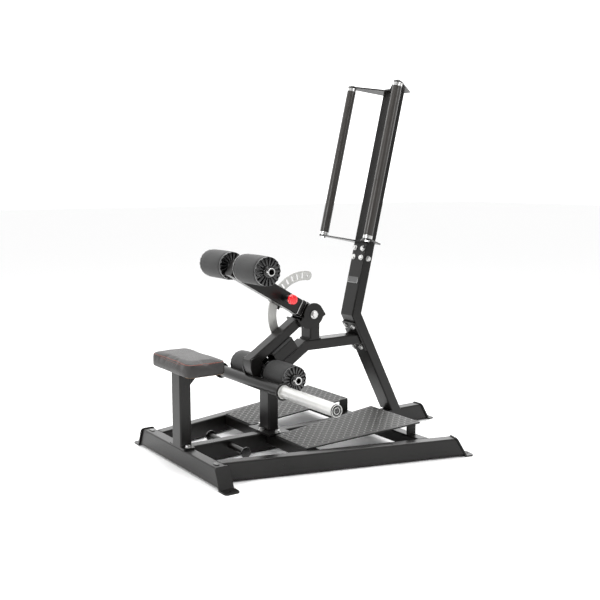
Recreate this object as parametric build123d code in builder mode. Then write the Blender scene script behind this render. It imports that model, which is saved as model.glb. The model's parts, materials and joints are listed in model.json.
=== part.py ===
from build123d import *
from math import atan2, cos, degrees, hypot, radians, sin, sqrt
import os

os.makedirs("parts", exist_ok=True)

# Millimetres. +X runs from the seat to the upright, +Y to the user's left, +Z up.
# The origin is on the floor, midway between the seat's front edge and the rear foot's tip.

# ---- overall sizes ----
overall_length = 1400.0
share = overall_length / 1400.0  # the posts and crossbars keep their places along the length
base_width = 1092.0  # over the side rails' outer edges where their tops end
mast_height = 1540.0  # the mast's axis at its top
seat_height = 454.0

# ---- stock sections ----
tube_wall = 3.0
tube_corner = 6.0
rail_wide, rail_tall = 50.0, 75.0
post_deep, post_wide = 50.0, 75.0
beam_wide, beam_tall = 75.0, 45.0
mast_deep, mast_wide = 50.0, 90.0
lever_wide, lever_tall = 58.0, 43.0
arm_wide, arm_tall = 50.0, 68.0
foot_plate = 6.0
post_plate = 8.0
bar_r, bar_wall = 25.0, 4.0

# ---- clearances ----
side_gap = 0.5  # between faces that pass each other
running = 0.05  # radial, shaft in bush
hole_gap = 0.5  # radial, bolt in hole

# ---- base ----
seat_overhang = 35.0
crossbar_half = 362.0  # to the root of a front foot's flange
front_flange, rear_flange = 48.0, 30.0
foot_wide = 64.0
foot_corner = 14.0
foot_lip = 4.0  # how far a foot's upright stands above the tube
front_rake, rear_rake = 34.0, 48.0  # how far a foot's upright leans over its height
bolt_shank_in = 8.0  # how far the base's bolts go in below the tube's wall
anchor_r = 5.5
rail_start_y = 258.0  # a side rail's axis at the crossbar's rear face
rail_top_run = 1018.0 * share  # from the crossbar's front face to the end of a side rail's top
mid_bar_run, rear_bar_run = 414.0 * share, 880.0 * share  # the same, to a crossbar's front face
cross_tall = 50.0  # the middle and rear crossbars, flush with the rails' tops
plug_long, plug_wide, plug_high = 34.0, 18.0, 3.0
plug_inset = 80.0
base_bolt_y = 51.0  # the seat post's bolts
mid_bolt_x, mid_bolt_y = 38.0, 68.0  # the middle post's bolts

# ---- treads ----
tread_thick = 6.0
tread_front_run, tread_rear_run = mid_bar_run - 1.5, rear_bar_run + rail_wide
tread_rise = 49.0
tread_front_y = (97.0, 325.0)
tread_rear_y = (86.0, 416.0)

# ---- seat ----
seat_long, seat_wide, seat_thick = 185.0, 350.0, 60.0
seat_corner = 40.0
seat_top_round, seat_low_round = 9.0, 5.0
board_thick, board_inset = 18.0, 12.0
bracket_thick = 8.0
bracket_reach = 138.0
seat_plate_half = 66.0
bracket_wide = 124.0
screw_x, screw_y, screw_r = (18.0, 118.0), (-49.0, 49.0), 4.0
screw_grip = 11.0  # how far the screws go into the board

# ---- pivot, lever and beam ----
pivot_run, pivot_z = 643.0 * share, 571.0
lever_angle = 33.5  # the lever hangs this far below level at rest
lever_low, lever_end = -10.0, 354.0  # tube's underside and end, from the pivot
lever_start = 80.0
yoke_thick = 8.0
ear_r, ear_thick = 50.0, 6.0
ear_drop = 38.0
shaft_r = 10.0
cheek_r, cheek_thick = 32.0, 7.5
bar_u, bar_v = bar_r + 362.6, -56.5  # the round crossbar's axis
beam_v = -73.0  # the diagonal beam's top face
rest_u, rest_long = 140.0, 115.0
rest_wide, rest_pad = 70.0, 10.0
rest_gap = 0.3
mid_post_top = 361.0
pivot_post_offset = -13.0  # the post's front face, from the pivot
foot_gusset = 6.0

# ---- weight sleeves ----
collar_y, collar_thick, collar_r = 245.0, 7.0, 35.0
sleeve_long = 348.0
sleeve_cap = 6.0

# ---- hip arm ----
arm_angle = 30.0  # above level at rest
hub_r, bush_r = 32.0, 14.0
arm_end = 438.0
axle_s, axle_t = 412.0, 18.0
band_s, band_long, band_thick = 48.0, 24.0, 3.0
pin_r = 4.0
knob_r, knob_long, knob_neck, knob_neck_r = 21.0, 16.0, 5.0, 14.0
barrel_long, barrel_r, barrel_bore, barrel_lid = 36.0, 13.0, 8.0, 3.0
pin_travel, spring_gap = 12.0, 0.2

# ---- arc selector ----
arc_in, arc_out = 141.0, 182.0
arc_thick, arc_y = 6.0, 35.0
arc_first, arc_last = 82.0, 212.5  # from +X, seen with +X right and +Z up
slot_count, slot_step, arm_slot = 8, 9.7, 6  # the arm stands at slot 7, counted from 0
slot_long = 26.0
arc_end_hole = 5.0

# ---- rollers ----
axle_r, axle_wall = 12.5, 3.0
upper_foam_r, lower_foam_r = 60.0, 57.5
roller_in, roller_long = 48.0, 182.0
roller_cap, cap_inset, spigot_r, spigot_long = 14.0, 2.0, 20.0, 28.0
hub_boss, hub_boss_r = 6.0, 24.0  # the cap's hub stands out past its face
ring_r, ring_thick = 16.0, 17.0
set_screw_r, set_screw_out = 4.0, 4.0
lower_roller_in, lower_roller_long = 44.0, 173.0
lower_axle_run, lower_axle_z = mid_bar_run + 16.0, 343.0

# ---- upright ----
leg_lean, mast_lean = 26.9, 13.4
bend_run, bend_z = 877.0 * share, 551.0
splice_z = 769.0
splice_long = 90.0
flange_long, flange_thick, flange_rise = 152.0, 8.0, 12.5
flange_bolt_d = 53.0
bolt_row_y = 27.5
label_long, label_wide, label_thick = 28.0, 72.0, 1.5

# ---- grips ----
grip_r, grip_y = 20.0, 159.4
grip_forward = 116.0  # grip axis to mast axis, square to the mast
grip_low_z = 869.0  # where the lower bracket's top meets the mast's axis
grip_top_drop = 5.0  # the upper bracket's top stands this far below the mast's end
grip_collar = 14.0
spindle_r = 8.0
v_plate = 6.0

# ---- band pegs ----
peg_run, peg_z, peg_r, peg_half = 236.0 * share, 55.0, 12.5, 144.0
peg_cap_r, peg_cap = 23.0, 6.0

# ---- fasteners ----
bolt_r, bolt_head_r, bolt_head = 6.0, 10.5, 7.5
washer_r, washer_thick = 12.0, 2.0

# ---- places worked out from the sizes ----
pin_s = (arc_in + arc_out) / 2
front = -overall_length / 2
tip_x = overall_length / 2
bar_x = front + seat_overhang  # the front crossbar's front face
deck = foot_plate + rail_tall  # the rails' top
post_x = bar_x + rail_wide / 2
mid_post_x = bar_x + mid_bar_run + rail_wide / 2
pivot_x = bar_x + pivot_run
bend_x = bar_x + bend_run
splay = degrees(atan2(base_width / 2 - rail_wide / 2 - rail_start_y, rail_top_run - rail_wide))
rail_dir = (cos(radians(splay)), sin(radians(splay)))
leg_dir = Vector(-sin(radians(leg_lean)), 0, cos(radians(leg_lean)))
mast_dir = Vector(sin(radians(mast_lean)), 0, cos(radians(mast_lean)))
leg_out = Vector(-leg_dir.Z, 0, leg_dir.X)  # out of the lower leg's front face
mast_out = Vector(-mast_dir.Z, 0, mast_dir.X)
bend = Vector(bend_x, 0, bend_z)

lever_cos, lever_sin = cos(radians(lever_angle)), sin(radians(lever_angle))
arm_cos, arm_sin = cos(radians(arm_angle)), sin(radians(arm_angle))
pivot = Vector(pivot_x, 0, pivot_z)
# Side views: local x runs out along the lever or the arm, local z is +Y.
lever_side = Plane(origin=pivot, x_dir=(-lever_cos, 0, -lever_sin), z_dir=(0, 1, 0))
arm_side = Plane(origin=pivot, x_dir=(-arm_cos, 0, arm_sin), z_dir=(0, 1, 0))
ear_y = post_wide / 2 + 2 * side_gap
bar_place = lever_side.from_local_coords(Vector(bar_u, bar_v, 0))
upper_axle = arm_side.from_local_coords(Vector(axle_s, axle_t, 0))
lower_axle = Vector(bar_x + lower_axle_run, 0, lower_axle_z)


def publish(builder, name, *welded):
    """Labels a finished piece, with what is welded face to face with it, and writes it."""
    piece = builder.part
    if welded:
        piece = Compound([solid for each in (builder, *welded) for solid in each.part.solids()])
    piece.label = name
    export_step(piece, f"parts/{name}.step")


def add_tube(plane, wide, tall, length, wall=tube_wall, corner=tube_corner):
    """Adds a hollow rectangular tube along the plane's normal."""
    with BuildSketch(plane) as section:
        RectangleRounded(wide, tall, corner)
        RectangleRounded(wide - 2 * wall, tall - 2 * wall, corner - wall, mode=Mode.SUBTRACT)
    extrude(section.sketch, amount=length)


def add_round(plane, r, length, bore=0.0, mode=Mode.ADD):
    """Adds a round bar, or a ring if it has a bore, along the plane's normal."""
    with BuildSketch(plane) as section:
        Circle(r)
        if bore:
            Circle(bore, mode=Mode.SUBTRACT)
    extrude(section.sketch, amount=length, mode=mode)


def add_plate(plane, points, thick, both=False, mode=Mode.ADD):
    """Adds a flat plate with straight edges, along the plane's normal."""
    with BuildSketch(plane) as outline:
        with BuildLine():
            Polyline(*points, close=True)
        make_face()
    extrude(outline.sketch, amount=thick, both=both, mode=mode)


def add_bolt(plane, shank, r=bolt_r, head_r=bolt_head_r, head=bolt_head):
    """Adds a hexagon bolt with its washer on the plane, its shank going in."""
    add_round(plane, head_r * washer_r / bolt_head_r, washer_thick)
    with BuildSketch(plane.offset(washer_thick)) as hexagon:
        RegularPolygon(head_r, 6)
    extrude(hexagon.sketch, amount=head)
    chamfer(faces(Select.LAST).sort_by(Axis(plane.origin, plane.z_dir))[-1].edges(), 1.0)
    add_round(plane, r, -shank)


def cut_hole(plane, deep, r=bolt_r + hole_gap):
    """Cuts a round hole into the plane's material."""
    add_round(plane, r, -deep, mode=Mode.SUBTRACT)


def across(point, toward=1):
    """A plane square to Y, facing +Y or -Y."""
    return Plane(origin=point, x_dir=(toward, 0, 0), z_dir=(0, toward, 0))


def up_at(x, y, z):
    return Plane(origin=(x, y, z), z_dir=(0, 0, 1))


def mast_plane(along, forward=0.0, side=0.0):
    """Square to the mast at a distance above the bend, local x to the rear."""
    place = bend + mast_dir * along + mast_out * forward + Vector(0, side, 0)
    return Plane(origin=place, x_dir=-mast_out, z_dir=mast_dir)


def mast_face(along, side=0.0, lift=0.0):
    """On the mast's front face, facing out."""
    place = bend + mast_dir * along + mast_out * (mast_deep / 2 + lift) + Vector(0, side, 0)
    return Plane(origin=place, x_dir=(0, 1, 0), z_dir=mast_out)


def mast_cheek(along, s):
    """On the mast's side, facing out."""
    place = bend + mast_dir * along + Vector(0, s * mast_wide / 2, 0)
    return Plane(origin=place, x_dir=mast_dir, z_dir=(0, s, 0))


def along_mast(z):
    return (z - bend_z) / mast_dir.Z


# ================= base =================

def foot_back(rake, flange):
    """How far the tube's end stands inside the foot's tip, at floor level."""
    return flange + foot_plate * sqrt(1 + (rake / deck) ** 2)


def end_plane(tip, outward, rake, flange):
    """The leaning plane between a rail and its foot."""
    origin = tip - outward * foot_back(rake, flange)
    lean = Vector(outward.X * deck, outward.Y * deck, rake)
    return Plane(origin=origin, z_dir=lean)


def make_foot(tip, outward, rake, flange):
    """A folded foot: an upright on the tube's end and a flange on the floor."""
    sideways = outward.cross(Vector(0, 0, 1))
    slope = rake / deck
    top = deck + foot_lip
    inner = -foot_back(rake, flange)
    outer = -flange
    with BuildPart() as foot:
        with BuildSketch(Plane(origin=tip, x_dir=outward, z_dir=sideways)):
            with BuildLine():
                Polyline(
                    (0, 0), (0, foot_plate), (outer - slope * foot_plate, foot_plate),
                    (outer - slope * top, top), (inner - slope * top, top), (inner, 0), close=True,
                )
            make_face()
        extrude(amount=foot_wide / 2, both=True)
        # Rounded corners, seen along the tube and from above.
        with BuildSketch(Plane(origin=tip - outward * 2 * deck, x_dir=sideways, z_dir=outward)):
            RectangleRounded(foot_wide, 2 * top, foot_corner)
        extrude(amount=3 * deck, mode=Mode.INTERSECT)
        with BuildSketch(Plane(origin=tip - outward * 2 * deck, x_dir=outward)):
            RectangleRounded(4 * deck, foot_wide, foot_corner)
        extrude(amount=2 * deck, mode=Mode.INTERSECT)
        hole = tip - outward * (flange / 2)
        cut_hole(up_at(hole.X, hole.Y, foot_plate + 1), foot_plate + 2, anchor_r)
    return foot.part


front_tips = [Vector(post_x, s * (crossbar_half + front_flange), 0) for s in (-1, 1)]
rear_run = rail_top_run - rail_wide + rail_wide / 2 * sin(radians(splay))
side_reach = rear_run / rail_dir[0] + rear_rake + rear_flange
side_tips = [
    Vector(bar_x + rail_wide + side_reach * rail_dir[0], s * (rail_start_y + side_reach * rail_dir[1]), 0)
    for s in (-1, 1)
]
side_dirs = [Vector(rail_dir[0], s * rail_dir[1], 0) for s in (-1, 1)]
centre_tip = Vector(tip_x, 0, 0)
rail_mid_z = foot_plate + rail_tall / 2

with BuildPart() as front_crossbar:
    add_tube(
        Plane(origin=(post_x, -crossbar_half, rail_mid_z), x_dir=(1, 0, 0), z_dir=(0, 1, 0)),
        rail_wide, rail_tall, 2 * crossbar_half,
    )
    for tip, s in zip(front_tips, (-1, 1)):
        split(bisect_by=end_plane(tip, Vector(0, s, 0), front_rake, front_flange), keep=Keep.BOTTOM)
    for y in (-base_bolt_y, base_bolt_y):
        cut_hole(up_at(post_x, y, deck), tube_wall + 1)
publish(front_crossbar, "front_crossbar")

for side_name, s, tip, outward in zip(("right", "left"), (-1, 1), side_tips, side_dirs):
    with BuildPart() as side_rail:
        back = Vector(bar_x + rail_wide, s * rail_start_y, rail_mid_z) - outward * rail_wide
        add_tube(
            Plane(origin=back, x_dir=outward.cross(Vector(0, 0, 1)), z_dir=outward),
            rail_wide, rail_tall, side_reach + rail_wide,
        )
        split(bisect_by=Plane(origin=(bar_x + rail_wide, 0, 0), z_dir=(1, 0, 0)), keep=Keep.TOP)
        split(bisect_by=end_plane(tip, outward, rear_rake, rear_flange), keep=Keep.BOTTOM)
    publish(side_rail, f"{side_name}_side_rail")

with BuildPart() as centre_rail:
    add_tube(
        Plane(origin=(bar_x + rail_wide, 0, rail_mid_z), x_dir=(0, 1, 0), z_dir=(1, 0, 0)),
        rail_wide, rail_tall, tip_x - bar_x - rail_wide,
    )
    split(bisect_by=end_plane(centre_tip, Vector(1, 0, 0), rear_rake, rear_flange), keep=Keep.BOTTOM)
    for x in (-mid_bolt_x, mid_bolt_x):
        cut_hole(up_at(mid_post_x + x, 0, deck), tube_wall + 1)
    add_round(across((bar_x + peg_run, -rail_wide, peg_z)), peg_r, 2 * rail_wide, mode=Mode.SUBTRACT)
publish(centre_rail, "centre_rail")


def make_crossbar(run, s, outward):
    """Half a crossbar, from the centre rail to a side rail."""
    square = Vector(-outward.Y, outward.X, 0) * s
    inner_edge = Vector(bar_x + rail_wide, s * rail_start_y, 0) - square * (rail_wide / 2)
    with BuildPart() as half:
        start = Vector(bar_x + run + rail_wide / 2, s * rail_wide / 2, deck - cross_tall / 2)
        add_tube(Plane(origin=start, x_dir=(1, 0, 0), z_dir=(0, s, 0)), rail_wide, cross_tall, base_width / 2)
        split(bisect_by=Plane(origin=inner_edge, z_dir=square), keep=Keep.BOTTOM)
        cut_hole(up_at(mid_post_x, s * mid_bolt_y, deck), tube_wall + 1)
    return half.part


for row_name, run in (("mid", mid_bar_run), ("rear", rear_bar_run)):
    with BuildPart() as crossbars:
        add([make_crossbar(run, s, outward) for s, outward in zip((-1, 1), side_dirs)])
    publish(crossbars, f"{row_name}_crossbars")

with BuildPart() as base_feet:
    add([make_foot(tip, Vector(0, s, 0), front_rake, front_flange) for tip, s in zip(front_tips, (-1, 1))])
    add([make_foot(tip, outward, rear_rake, rear_flange) for tip, outward in zip(side_tips, side_dirs)])
    add(make_foot(centre_tip, Vector(1, 0, 0), rear_rake, rear_flange))
publish(base_feet, "base_feet")

with BuildPart() as tube_plugs:
    for y in (plug_inset - crossbar_half, crossbar_half - plug_inset):
        with BuildSketch(up_at(post_x, y, deck)) as oval:
            SlotOverall(plug_long, plug_wide, rotation=90)
        extrude(oval.sketch, amount=plug_high)
    fillet(faces().group_by(Axis.Z)[-1].edges(), plug_high * 0.6)
publish(tube_plugs, "tube_plugs")

with BuildPart() as band_pegs:
    add_round(across((bar_x + peg_run, -peg_half, peg_z)), peg_r - running, 2 * peg_half)
publish(band_pegs, "band_peg_bar")

with BuildPart() as peg_caps:
    for s in (-1, 1):
        add_round(across((bar_x + peg_run, s * peg_half, peg_z), s), peg_cap_r, peg_cap)
    fillet(edges().filter_by(GeomType.CIRCLE), 1.5)
publish(peg_caps, "band_peg_caps")

# ================= treads =================
tread_x0, tread_x1 = bar_x + tread_front_run, bar_x + tread_rear_run
tread_slope = atan2(tread_rise, tread_x1 - tread_x0)
tread_run = hypot(tread_rise, tread_x1 - tread_x0)
# The tread's underside rests on the middle crossbar's front edge.
tread_plane = Plane(
    origin=(tread_x0, 0, deck + 0.5), x_dir=(cos(tread_slope), 0, sin(tread_slope)),
    z_dir=(-sin(tread_slope), 0, cos(tread_slope)),
)
for side_name, s in (("right", -1), ("left", 1)):
    outline = [
        (0, s * tread_front_y[0]), (0, s * tread_front_y[1]),
        (tread_run, s * tread_rear_y[1]), (tread_run, s * tread_rear_y[0]),
    ]
    with BuildPart() as tread:
        # Two legs stand on the rear crossbar and end under the sloping plate.
        for y in (tread_rear_y[0] - 2, tread_rear_y[1] - 34):
            with BuildSketch(up_at(bar_x + rear_bar_run + rail_wide / 2, s * (y + post_plate / 2), deck)):
                Rectangle(rail_wide - 6, post_plate)
            extrude(amount=2 * tread_rise)
        split(bisect_by=tread_plane, keep=Keep.BOTTOM)
        with BuildSketch(tread_plane):
            with BuildLine():
                Polyline(*outline, close=True)
            make_face()
            fillet(vertices(), 4.0)
        extrude(amount=tread_thick)
    publish(tread, f"{side_name}_tread")

# ================= seat =================
board_z = seat_height - seat_thick  # the board lies in a pocket under the pad
bracket_z = board_z - bracket_thick
seat_mid_x = front + seat_long / 2

# The seat post: foot plate, tube, seat plate and brace, welded together.
with BuildPart() as seat_post:
    with BuildSketch(up_at(post_x, 0, deck)):
        RectangleRounded(rail_wide, 2 * seat_plate_half, 5)
    extrude(amount=post_plate)
    for y in (-base_bolt_y, base_bolt_y):
        cut_hole(up_at(post_x, y, deck + post_plate + 1), post_plate + 2)
    add_tube(up_at(post_x, 0, deck + post_plate), post_deep, post_wide, bracket_z - deck - post_plate)
    with BuildSketch(up_at(bar_x + bracket_reach / 2, 0, bracket_z)):
        RectangleRounded(bracket_reach, bracket_wide, 8)
    extrude(amount=bracket_thick)
    brace = Plane(origin=(bar_x + rail_wide, 0, bracket_z), x_dir=(1, 0, 0), z_dir=(0, -1, 0))
    add_plate(brace, [(0, 0), (62, 0), (62, -8), (8, -62), (0, -62)], 4.0, both=True)
    for x in screw_x:
        for y in screw_y:
            cut_hole(up_at(bar_x + x, y, board_z + 1), bracket_thick + 2, screw_r + hole_gap)
publish(seat_post, "seat_post")



def add_board(mode=Mode.ADD):
    with BuildSketch(up_at(seat_mid_x, 0, board_z)) as outline:
        RectangleRounded(
            seat_long - 2 * board_inset, seat_wide - 2 * board_inset, seat_corner - board_inset)
    extrude(outline.sketch, amount=board_thick, mode=mode)


with BuildPart() as seat_board:
    add_board()
    for x in screw_x:
        for y in screw_y:
            cut_hole(up_at(bar_x + x, y, board_z), -screw_grip - 1, screw_r)
publish(seat_board, "seat_board")

with BuildPart() as seat_pad:
    with BuildSketch(up_at(seat_mid_x, 0, board_z)):
        RectangleRounded(seat_long, seat_wide, seat_corner)
    extrude(amount=seat_thick)
    fillet(faces().group_by(Axis.Z)[-1].edges(), seat_top_round)
    fillet(faces().group_by(Axis.Z)[0].edges(), seat_low_round)
    add_board(Mode.SUBTRACT)
publish(seat_pad, "seat_pad")

# ================= middle post and beam =================
mid_bolts = [(-mid_bolt_x, 0), (mid_bolt_x, 0), (0, -mid_bolt_y), (0, mid_bolt_y)]
with BuildPart() as mid_post:
    with BuildSketch(up_at(mid_post_x, 0, deck)):
        RectangleRounded(2 * mid_bolt_x + 30, 2 * mid_bolt_y + 32, 6)
    extrude(amount=post_plate)
    for x, y in mid_bolts:
        cut_hole(up_at(mid_post_x + x, y, deck + post_plate + 1), post_plate + 2)
    add_tube(up_at(mid_post_x, 0, deck + post_plate), post_deep, post_wide,
             mid_post_top - deck - post_plate)
    with BuildSketch(up_at(mid_post_x, 0, mid_post_top - tube_wall)):
        RectangleRounded(post_deep - 1, post_wide - 1, tube_corner - 1)
    extrude(amount=tube_wall)
    add_round(across(lower_axle - Vector(0, post_wide, 0)), axle_r, 2 * post_wide, mode=Mode.SUBTRACT)
publish(mid_post, "mid_post")

# The beam climbs parallel to the lever, then runs level to the upright.
mitre_normal = Vector(1 + lever_cos, 0, lever_sin)
beam_axis_v = beam_v - beam_tall / 2
level_z = pivot_z - 111.5 - beam_tall / 2
mitre_u = (pivot_z - level_z + beam_axis_v * lever_cos) / lever_sin
mitre_at = lever_side.from_local_coords(Vector(mitre_u, beam_axis_v, 0))
mitre = Plane(origin=mitre_at, z_dir=mitre_normal)
post_wall = Plane(origin=(mid_post_x + post_deep / 2, 0, 0), z_dir=(1, 0, 0))
leg_front = bend + leg_out * (mast_deep / 2)  # on the leg's front face
flange_face = Plane(origin=leg_front + leg_out * flange_thick, z_dir=leg_out)
flange_mid = leg_front - leg_dir * ((leg_front.Z - level_z - flange_rise) / leg_dir.Z)
flange_holes = [(y, d) for y in (-bolt_row_y, bolt_row_y) for d in (-flange_bolt_d, flange_bolt_d)]

with BuildPart() as diagonal_beam:
    low = lever_side.from_local_coords(Vector(lever_end - 60, beam_axis_v, 0))
    add_tube(
        Plane(origin=low, x_dir=(0, 1, 0), z_dir=(lever_cos, 0, lever_sin)),
        beam_wide, beam_tall, lever_end,
    )
    split(bisect_by=mitre, keep=Keep.BOTTOM)
    split(bisect_by=post_wall, keep=Keep.TOP)
publish(diagonal_beam, "diagonal_beam")

with BuildPart() as top_beam:
    add_tube(
        Plane(origin=(mitre_at.X - beam_tall, 0, level_z), x_dir=(0, 1, 0), z_dir=(1, 0, 0)),
        beam_wide, beam_tall, bend_x - mitre_at.X + 150,
    )
    split(bisect_by=mitre, keep=Keep.TOP)
    split(bisect_by=flange_face, keep=Keep.TOP)
    # Its end flange lies on the lower upright's front face.
    with BuildSketch(Plane(origin=flange_mid, x_dir=(0, 1, 0), z_dir=leg_out)):
        RectangleRounded(mast_wide, flange_long, 8)
    extrude(amount=flange_thick)
    for y, d in flange_holes:
        place = flange_mid + Vector(0, y, 0) + leg_dir * d + leg_out * (flange_thick + 1)
        cut_hole(Plane(origin=place, z_dir=leg_out), flange_thick + 2)
publish(top_beam, "top_beam")

with BuildPart() as rest_block:
    add_tube(
        Plane(
            origin=lever_side.from_local_coords(Vector(rest_u + rest_long, 0, 0))
            + lever_side.y_dir * ((beam_v + lever_low - rest_gap - rest_pad) / 2),
            x_dir=(0, 1, 0), z_dir=(lever_cos, 0, lever_sin),
        ),
        rest_wide, lever_low - rest_gap - rest_pad - beam_v, rest_long, 4.0, 5.0,
    )
publish(rest_block, "rest_block")

with BuildPart() as rest_pad_part:
    low_v, high_v = lever_low - rest_gap - rest_pad, lever_low - rest_gap
    add_plate(
        lever_side.offset(-rest_wide / 2),
        [(rest_u, low_v), (rest_u, high_v), (rest_u + rest_long, high_v), (rest_u + rest_long, low_v)],
        rest_wide,
    )
    chamfer(faces().sort_by(Axis(pivot, lever_side.y_dir))[-1].edges(), 2.0)
publish(rest_pad_part, "rest_pad")

# ================= pivot post =================
pivot_post_x = pivot_x + pivot_post_offset + post_deep / 2
beam_top = level_z + beam_tall / 2
post_base = 6.0
cheek_low = pivot_z - hub_r - 5

with BuildPart() as pivot_post:
    with BuildSketch(up_at(pivot_post_x, 0, beam_top)):
        RectangleRounded(post_deep + 14, post_wide, 4)
    extrude(amount=post_base)
    add_tube(up_at(pivot_post_x, 0, beam_top + post_base), post_deep, post_wide,
             cheek_low - beam_top - post_base)
    with BuildSketch(up_at(pivot_post_x, 0, cheek_low - tube_wall)):
        RectangleRounded(post_deep - 1, post_wide - 1, tube_corner - 1)
    extrude(amount=tube_wall)
    # Two cheeks with the shaft's bores.
    for y in (cheek_thick - post_wide / 2, post_wide / 2):
        with BuildSketch(Plane(origin=pivot + Vector(0, y, 0), x_dir=(1, 0, 0), z_dir=(0, -1, 0))):
            with BuildLine():
                Polyline(
                    (pivot_post_offset + 3, cheek_low - pivot_z), (-cheek_r * 0.93, 0), (cheek_r * 0.93, 0),
                    (pivot_post_offset + post_deep - 3, cheek_low - pivot_z), close=True,
                )
            make_face()
            Circle(cheek_r)
            Circle(shaft_r, mode=Mode.SUBTRACT)
        extrude(amount=cheek_thick)
publish(pivot_post, "pivot_post")

shaft_half = ear_y + ear_thick + side_gap
with BuildPart() as pivot_shaft:
    add_round(across(pivot - Vector(0, shaft_half, 0)), shaft_r, 2 * shaft_half)
    for s in (-1, 1):
        end = across(pivot + Vector(0, s * shaft_half, 0), s)
        add_round(end, 18.0, 2.5)
        with BuildSketch(end.offset(2.5)) as hexagon:
            RegularPolygon(15.0, 6, rotation=12)
        extrude(hexagon.sketch, amount=9.0)
        chamfer(faces(Select.LAST).sort_by(Axis(end.origin, end.z_dir))[-1].edges(), 1.5)
publish(pivot_shaft, "pivot_shaft")

# ================= lever =================
tube_mid_v = lever_low + lever_tall / 2
lever_top = lever_low + lever_tall

with BuildPart() as lever_tube:
    start = lever_side.from_local_coords(Vector(lever_start, tube_mid_v, 0))
    add_tube(
        Plane(origin=start, x_dir=(0, 1, 0), z_dir=(-lever_cos, 0, -lever_sin)),
        lever_wide, lever_tall, lever_end - lever_start,
    )
    # The block that carries the arc plate.
    add_plate(
        lever_side.offset(lever_wide / 2),
        [(arc_in - 4, lever_low + 10), (arc_in - 4, lever_top - 4), (arc_out + 2, lever_top - 4),
         (arc_out + 2, lever_low + 10)],
        arc_y - lever_wide / 2,
    )
publish(lever_tube, "lever_tube")

# The yoke: a plate across the tube's end with an ear on each side of the pivot post.
with BuildPart() as lever_yoke:
    add_plate(
        lever_side.offset(-ear_y - ear_thick),
        [(lever_start - yoke_thick, lever_low), (lever_start - yoke_thick, lever_top),
         (lever_start, lever_top), (lever_start, lever_low)],
        2 * (ear_y + ear_thick),
    )
    for near in (-ear_y - ear_thick, ear_y):
        with BuildSketch(lever_side.offset(near)):
            with BuildLine():
                Polyline(
                    (-ear_r, 0), (-ear_r, -ear_drop), (ear_r + 2, -ear_drop),
                    (lever_start - yoke_thick, lever_low - 8), (lever_start - yoke_thick, 18),
                    (ear_r * 0.9, 22), close=True,
                )
            make_face()
            Circle(ear_r)
            Circle(shaft_r + running, mode=Mode.SUBTRACT)
        extrude(amount=ear_thick)
publish(lever_yoke, "lever_yoke")

with BuildPart() as lever_foot:
    for s in (-1, 1):
        near = lever_wide / 2 if s > 0 else -lever_wide / 2 - foot_gusset
        with BuildSketch(lever_side.offset(near)) as outline:
            with BuildLine():
                Polyline((bar_u - 26, bar_v), (lever_end - 42, lever_low + 2), (lever_end - 42, lever_top - 12),
                         (lever_end - 6, lever_top))
                ThreePointArc((lever_end - 6, lever_top), (bar_u - 13, 0), (bar_u - 6, bar_v + 26))
                Line((bar_u - 6, bar_v + 26), (bar_u - 26, bar_v))
            make_face()
            with Locations((bar_u, bar_v)):
                Circle(bar_r, mode=Mode.SUBTRACT)
        extrude(outline.sketch, amount=foot_gusset)
    # The folded plate between them.
    with BuildSketch(lever_side.offset(-lever_wide / 2)) as outline:
        with BuildLine():
            outer = ThreePointArc((lever_end, lever_top - 2), (bar_u - 15, -2), (bar_u - 10, bar_v + bar_r - 1))
            inner = ThreePointArc((lever_end, lever_top - 10), (bar_u - 22, -4), (bar_u - 17, bar_v + bar_r - 4))
            Line(outer @ 0, inner @ 0)
            Line(outer @ 1, inner @ 1)
        make_face()
        with Locations((bar_u, bar_v)):
            Circle(bar_r, mode=Mode.SUBTRACT)
    extrude(outline.sketch, amount=lever_wide)
publish(lever_foot, "lever_foot")

with BuildPart() as round_crossbar:
    add_round(across(bar_place - Vector(0, collar_y, 0)), bar_r, 2 * collar_y, bar_r - bar_wall)
with BuildPart() as stop_collars:
    for s in (-1, 1):
        add_round(across(bar_place + Vector(0, s * collar_y, 0), s), collar_r, collar_thick, bar_r - bar_wall)
    fillet(edges().filter_by(GeomType.CIRCLE).group_by(SortBy.LENGTH)[-1], 1.5)
publish(round_crossbar, "round_crossbar", stop_collars)

sleeve_in = collar_y + collar_thick
for side_name, s in (("right", -1), ("left", 1)):
    with BuildPart() as sleeve:
        add_round(across(bar_place + Vector(0, s * sleeve_in, 0), s), bar_r, sleeve_long, bar_r - bar_wall)
    publish(sleeve, f"{side_name}_weight_sleeve")

with BuildPart() as sleeve_caps:
    for s in (-1, 1):
        cap_at = bar_place + Vector(0, s * (sleeve_in + sleeve_long), 0)
        add_round(across(cap_at - Vector(0, s * 10, 0), s), bar_r - bar_wall, 10)
        add_round(across(cap_at, s), bar_r, sleeve_cap)
    fillet(edges().filter_by(GeomType.CIRCLE).group_by(Axis.Y)[0], 1.5)
    fillet(edges().filter_by(GeomType.CIRCLE).group_by(Axis.Y)[-1], 1.5)
publish(sleeve_caps, "sleeve_caps")

# ================= arc selector =================
arc_side = Plane(origin=pivot + Vector(0, arc_y + arc_thick, 0), x_dir=(1, 0, 0), z_dir=(0, -1, 0))


def on_arc(r, angle):
    return (r * cos(radians(angle)), r * sin(radians(angle)))


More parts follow.
